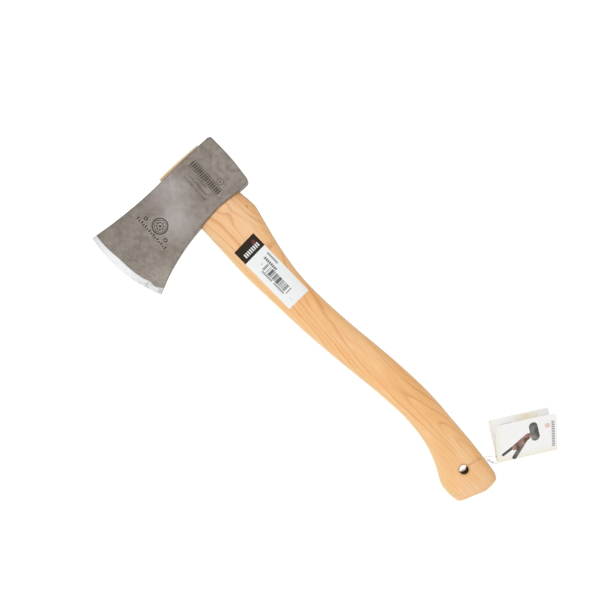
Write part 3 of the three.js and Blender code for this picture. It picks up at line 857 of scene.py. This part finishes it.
def make_head():
    x, y, bevel_rows = head_grid()
    rows, columns = x.shape
    low, high = head_sides(y)
    upper, inset = head_height(x, y, low, high, 1.0)
    lower, _ = head_height(x, y, low, high, 5.0)
    stamp = stamped(x, y)
    lip = np.maximum(softened(stamp) - stamp, 0)  # metal the stamp pushed up around it
    upper = upper - stamp + 0.7 * lip
    top = np.stack([x, y, upper], -1).reshape(-1, 3)
    bottom = np.stack([x, y, -lower], -1).reshape(-1, 3)
    rim = rim_of(rows, columns)
    wall_steps = 7
    shares = np.linspace(0, 1, wall_steps)[1:-1]
    walls = [top[rim] * (1 - share) + bottom[rim] * share for share in shares]

    count = rows * columns
    faces = quads(rows, columns, flip=True) + quads(rows, columns, first=count)
    belts = [rim, *(2 * count + k * len(rim) + np.arange(len(rim)) for k in range(len(walls))), count + rim]
    for above, below in zip(belts, belts[1:]):
        turned = np.roll(above, -1), np.roll(below, -1)
        faces += np.stack([above, turned[0], turned[1], below], -1).tolist()
    head = make_object("forged_head", np.vstack([top, bottom, *walls]), faces)

    # The bevel's faces come last in each grid of faces
    skin, bevel = (rows - 1) * (columns - 1), bevel_rows * (columns - 1)
    use_second_material(head, [*range(skin - bevel, skin), *range(2 * skin - bevel, 2 * skin)])

    none = np.zeros(count)
    rest = np.zeros(len(rim) * len(walls))
    wear = smoothstep(inset, 1.3, 0.2) * (0.45 + 0.55 * smoothstep(bumps(x, y, 5, 7), -0.2, 0.5))
    oval_scuff = np.hypot((x - 33) / 5, (y + 102) / 3.2)
    scuff = smoothstep(np.abs(oval_scuff - 0.85), 0.35, 0.05) * smoothstep(bumps(x, y, 1.6, 12), -0.5, 0.3)
    speck = smoothstep(np.hypot((x + 7) / 2.2, (y + 40) / 1.2), 1, 0.3)
    for name, parts in {
        "wear": (wear, wear, rest),
        "scuff": (np.maximum(scuff, speck), none, rest),
        # 1 on the side walls, where dark painted shade is laid
        "wall_shade": (none, none, rest + 1),
        "lip": (smoothstep(lip, 0.03, 0.2), none, rest),
        "stamp": (smoothstep(stamp, 0.1, 0.5), none, rest),
        "etch": (etched(x, y), none, rest),
    }.items():
        set_attribute(head, name, np.concatenate([np.ravel(part) for part in parts]))

    eye = make_object("eye_tool", *loft([eye_section(at, 0) for at in (-60, 60)]))
    cut(head, eye)
    dress(head, "hatchet", [forged_steel(), ground_steel()], ["axe_head"])


# ---- the handle and its wedges

back_edge = curve_through(BACK_EDGE)
belly_edge = curve_through(BELLY_EDGE)
half_thickness = curve_through(HALF_THICKNESS)


def handle_section(share):
    """The handle's section at a share of its length: its belly and back points and half thickness."""
    back_x = HANDLE["start"] + share * (HANDLE["end"] - HANDLE["start"])
    belly_x = back_x - HANDLE["slant"] * smoothstep(share, HANDLE["slant_from"], 1)
    return (belly_x, belly_edge(belly_x)), (back_x, back_edge(back_x)), half_thickness(back_x)


def handle_top(x, y):
    """The height of the handle's upper surface over a point of its straight-cut part."""
    middle, reach = (back_edge(x) + belly_edge(x)) / 2, (back_edge(x) - belly_edge(x)) / 2
    across = np.abs(y - middle) / reach
    return half_thickness(x) * (1 - across ** HANDLE["roundness"]) ** (1 / HANDLE["roundness"])


def wedge_body(name, long, extra):
    """The wedge's taper, or the kerf for it: extra wider all round and open at the top."""
    above = 5 if extra > 0 else 0
    slope = (WEDGE["thick"] - WEDGE["thin"]) / 2 / WEDGE["deep"]
    mouth, tip = WEDGE["thick"] / 2 + extra + above * slope, WEDGE["thin"] / 2 + extra
    start, end = TONGUE_END - above, TONGUE_END + WEDGE["deep"] + extra
    low, high = EYE["y"] - long / 2, EYE["y"] + long / 2
    rings = [
        [(x, high, -half), (x, high, half), (x, low, half), (x, low, -half)]
        for x, half in ((start, mouth), (end, tip))
    ]
    return make_object(name, *loft(rings))


def sleeve(name, inner, outer, start, end, chamfer=0.0):
    """A tube round the eye's long axis, its ends chamfered."""
    angles = np.arange(SIDES) * 2 * math.pi / SIDES
    profile = [
        (inner, start + chamfer), (inner + chamfer, start),
        (outer - chamfer, start), (outer, start + chamfer),
        (outer, end - chamfer), (outer - chamfer, end),
        (inner + chamfer, end), (inner, end - chamfer),
    ]
    points = [(x, EYE["y"] + r * math.cos(a), r * math.sin(a)) for r, x in profile for a in angles]
    faces = quads(len(profile), SIDES, around=True)
    last = (len(profile) - 1) * SIDES
    faces += [(last + k, last + (k + 1) % SIDES, (k + 1) % SIDES, k) for k in range(SIDES)]
    return make_object(name, points, faces)


def ring_groove(name):
    """The groove the ring is driven into, open past the tongue's end."""
    start, end = TONGUE_END - 5, TONGUE_END + RING["deep"] + GROOVE_GAP
    return sleeve(name, RING["inner"] - GROOVE_GAP, RING["outer"] + GROOVE_GAP, start, end)


def hole_tool():
    """The hang hole with its flared mouths."""
    radius, flare = HANG_HOLE["radius"], HANG_HOLE["flare"]
    wall = half_thickness(HANG_HOLE["place"][0])
    turns = np.linspace(0, math.pi / 2, 7)
    mouth = [(radius + flare * (1 - math.cos(t)), wall - flare + flare * math.sin(t)) for t in turns]
    mouth.append((mouth[-1][0], wall + 3))
    profile = [(r, -h) for r, h in reversed(mouth)] + mouth
    points, faces = lathe(profile, 48)
    return make_object("hole_tool", points + (*HANG_HOLE["place"], 0), faces)


def from_hang_hole(places):
    """How far each place of the row frame is from the hang hole's axis, in millimetres."""
    off = np.array(places) - to_row((*HANG_HOLE["place"], 0))
    return np.hypot(*off[:, :2].T) / MM


def make_handle():
    fit = 0.08  # left between the tongue and the eye
    gap = 0.3  # left between the head and the shoulder
    length = HANDLE["end"] - HANDLE["start"]

    def beside_head(ring):
        """Slides a section near the head so that it runs along the head's edge."""
        slid = ring.copy()
        edge = under_line(ring[:, 1]) + gap - SHOULDER_START
        slid[:, 0] += edge * (1 - smoothstep(ring[0, 0], SHOULDER_START + 3, 46))
        return slid

    rings = [eye_section(x, extra - fit) for x, extra in (
        (TONGUE_END, -1.3), (TONGUE_END + 0.12, -0.8), (TONGUE_END + 0.45, -0.35), (TONGUE_END + 1.1, -0.05),
        (-20, 0), (0, 0), (18, 0),
    )]
    tongue = len(rings)
    rings.append(beside_head(eye_section(SHOULDER_START, -fit)))
    belly_y, back_y, half = SHOULDER_SECTION
    full = oval((SHOULDER_START, belly_y), (SHOULDER_START, back_y), half, HANDLE["roundness"])
    for turn in np.linspace(0, math.pi / 2, 7)[1:]:
        ring = eye_section(SHOULDER_START, -fit) * (1 - math.sin(turn)) + full * math.sin(turn)
        ring[:, 0] = SHOULDER_START + SHOULDER * (1 - math.cos(turn))
        rings.append(beside_head(ring))
    for share in np.linspace(2 / length, 1, 200):
        rings.append(beside_head(oval(*handle_section(share), HANDLE["roundness"])))
    belly, back, half = handle_section(1)
    middle = np.array((*(np.add(belly, back) / 2), 0))
    outward = np.array((back[1] - belly[1], belly[0] - back[0], 0))
    outward = outward / np.linalg.norm(outward)
    straight = len(rings)
    for size in DOME_SIZES:
        rise = (1 - size**3.2) ** 0.47
        end = (oval(belly, back, half, HANDLE["roundness"]) - middle) * size
        towards_back = end[:, 1] / (back[1] - middle[1])
        corner = 1 + 0.42 * np.exp(-(((towards_back - 0.3) / 0.42) ** 2))  # the sawn corner of the knob
        rings.append(end + middle + outward * HANDLE["dome"] * rise * corner[:, None])
    handle = make_object("ash_handle", *loft(rings))
    angles = np.arange(SIDES) * 2 * math.pi / SIDES
    fading = [*np.zeros(tongue), *np.ones(straight - tongue), *np.power(DOME_SIZES, 10)]
    # side runs from -1 on the belly to 1 on the back and places the painted light and shade across the
    # handle
    set_attribute(handle, "side", np.outer(fading, np.cos(angles)))
    kerf = wedge_body("kerf_tool", 2 * EYE["long"] + 10, GROOVE_GAP)
    cut(handle, kerf, ring_groove("groove_tool"), hole_tool())
    away = from_hang_hole([vertex.co for vertex in handle.data.vertices])
    # rim: where the painted shade round the hang hole's mouth lies
    set_attribute(handle, "rim", smoothstep(away, HANG_HOLE["radius"] + 3, HANG_HOLE["radius"] + 0.4))
    away = from_hang_hole([face.center for face in handle.data.polygons])
    use_second_material(handle, away < HANG_HOLE["radius"] + 0.25)
    dress(handle, "hatchet", [ash(), bored_ash()], ["handle"], crease=40)


def make_wedges():
    wedge = wedge_body("beech_wedge", WEDGE["long"], 0)
    cut(wedge, ring_groove("wedge_groove_tool"))
    dress(wedge, "hatchet", [beech()], ["hardwood_wedge"])
    start, end = TONGUE_END - 0.25, TONGUE_END + RING["deep"]
    ring = sleeve("steel_ring", RING["inner"], RING["outer"], start, end, 0.35)
    dress(ring, "hatchet", [turned_steel()], ["ring_wedge"])


# ---- the label


def make_label():
    """A sticker that follows the wood, with its print laid out from the header's end."""
    rows, columns = 36, 96
    u, v = np.meshgrid(np.linspace(0, 1, columns), np.linspace(0, 1, rows))
    corner = [np.array(c, float) for c in LABEL_CORNERS]
    upper_edge = corner[0] * (1 - u[..., None]) + corner[1] * u[..., None]
    lower_edge = corner[3] * (1 - u[..., None]) + corner[2] * u[..., None]
    flat = lower_edge * (1 - v[..., None]) + upper_edge * v[..., None]
    x, y = flat[..., 0], flat[..., 1]
    ripple = 0.05 * (1 + bumps(x, y, 9, 21)) / 2
    wood = handle_top(x, y)
    skins = [np.stack([x, y, wood + rise + ripple], -1).reshape(-1, 3) for rise in LABEL_RISE[::-1]]
    label = make_object("label_sticker", np.vstack(skins), sheet_faces(rows, columns))
    set_prints(label, u * LABEL_SIZE[0], v * LABEL_SIZE[1])
    dress(label, "hatchet", [label_print()], ["paper_label"])


# ---- the loop and the tag


def make_loop():
    """The clear filament as a round curve, with its moulded lock."""
    offset = Vector(ORIGIN) + Vector((0, 0, GROUND * MM))
    points = [Vector(point) + offset for point in LOOP_ROUTE]
    data = bpy.data.curves.new("clear_filament", "CURVE")
    data.dimensions = "3D"
    data.bevel_depth = LOOP_DIAMETER / 2
    data.bevel_resolution = 4
    data.resolution_u = 8
    data.use_fill_caps = True
    spline = data.splines.new("BEZIER")
    spline.bezier_points.add(len(points) - 1)
    for knot, point in zip(spline.bezier_points, points):
        knot.co = point
        knot.handle_left_type = knot.handle_right_type = "AUTO"
    loop = add_object("clear_filament", data)
    data.materials.append(clear_nylon("nylon_filament", (0.6, 0.61, 0.63), 0.08))

    long, radius = LOCK["long"], LOCK["radius"]
    profile = [
        (0.35, -0.5), (0.62, -0.497), (0.78, -0.48), (0.93, -0.45), (1, -0.41), (1, -0.2),
        (0.97, -0.17), (0.76, -0.15), (0.76, 0.1), (0.8, 0.12), (0.97, 0.14), (1, 0.17),
        (1, 0.2), (1, 0.36), (0.93, 0.43), (0.78, 0.48), (0.6, 0.497), (0.35, 0.5),
    ]
    points, faces = lathe([(r * radius, h * long) for r, h in profile], 36)
    across = Matrix.Rotation(math.radians(LOCK["turn"]), 3, "Z") @ Matrix.Rotation(math.pi / 2, 3, "Y")
    place = np.array(LOCK["place"]) + (0, 0, GROUND)
    lock = make_object("loop_lock_barrel", points @ np.array(across).T + place, faces)
    dress(lock, "hang_loop", [clear_nylon("nylon_lock", (0.76, 0.8, 0.86), 0.22)], ["loop_lock"])

    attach(loop, "hang_loop")
    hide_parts("nylon_loop")


def card_path(steps):
    """The card's middle line across its fold, from the back leaf's open edge to the front one's.

    Also returns each point's place on the print, 0 at the fold and below it on the back leaf.
    """
    half, crease, pull = TAG["thick"] / 2 + 0.02, 0.6, 0.85
    turn = math.radians(TAG["open"])
    forward, up = np.array((math.cos(turn), math.sin(turn))), np.array((-math.sin(turn), math.cos(turn)))
    spread = np.linspace(TAG["wide"], crease, steps)
    bow = np.sin(np.pi * (spread - crease) / (TAG["wide"] - crease))
    back = np.stack([spread, -half - 0.25 * bow], -1)
    front = [q * forward + (half + 0.7 * b) * up for q, b in zip(spread[::-1], bow[::-1])]
    start, end = back[-1], front[0]
    t = np.linspace(0, 1, 12)[1:-1, None]
    towards = [start, start - (pull, 0), end - pull * forward, end]
    turnover = sum(
        math.comb(3, k) * t**k * (1 - t) ** (3 - k) * point for k, point in enumerate(towards)
    )
    places = [*-spread, *np.linspace(-crease, crease, 12)[1:-1], *spread[::-1]]
    return np.vstack([back, turnover, front]), np.array(places)


def make_tag():
    """One folded card, with a hole for the loop in its back leaf."""
    path, places = card_path(40)
    slope = np.gradient(path, axis=0)
    slope = slope / np.linalg.norm(slope, axis=1, keepdims=True)
    side = np.stack([-slope[:, 1], slope[:, 0]], -1)
    columns = 60
    along = np.linspace(0, TAG["long"], columns)
    turns = ((TAG["turn"], "Z"), (TAG["dip"], "Y"), (-TAG["droop"], "X"))
    turn, dip, droop = (Matrix.Rotation(math.radians(angle), 3, axis) for angle, axis in turns)
    tilt = np.array(turn @ dip @ droop)
    corner = np.array(TAG["corner"]) + (0, 0, GROUND)

    def layer(offset):
        line = path + side * offset
        grid = np.zeros((len(line), columns, 3))
        grid[..., 0] = along
        grid[..., 1] = line[:, :1]
        grid[..., 2] = line[:, 1:]
        return grid.reshape(-1, 3) @ tilt.T + corner

    half = TAG["thick"] / 2
    faces = sheet_faces(len(path), columns, flip=True)
    card = make_object("card_tag", np.vstack([layer(half), layer(-half)]), faces)
    skin = (len(path) - 1) * (columns - 1)
    use_second_material(card, slice(skin, 2 * skin))
    set_prints(card, *np.meshgrid(along, places))

    hole_along, hole_across, radius = TAG["hole"]
    tool_points, tool_faces = lathe([(radius, -3), (radius, 1.5)], 40)
    tool_points = (tool_points + (hole_along, hole_across, 0)) @ tilt.T + corner
    cut(card, make_object("punch_tool", tool_points, tool_faces))
    shade(card, [card_cover(), card_inside()])
    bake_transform(card)
    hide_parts("tag_back_leaf", "tag_front_leaf")


make_camera()
make_loop()
make_floor()
make_studio()
make_head()
make_handle()
make_wedges()
make_label()
make_tag()
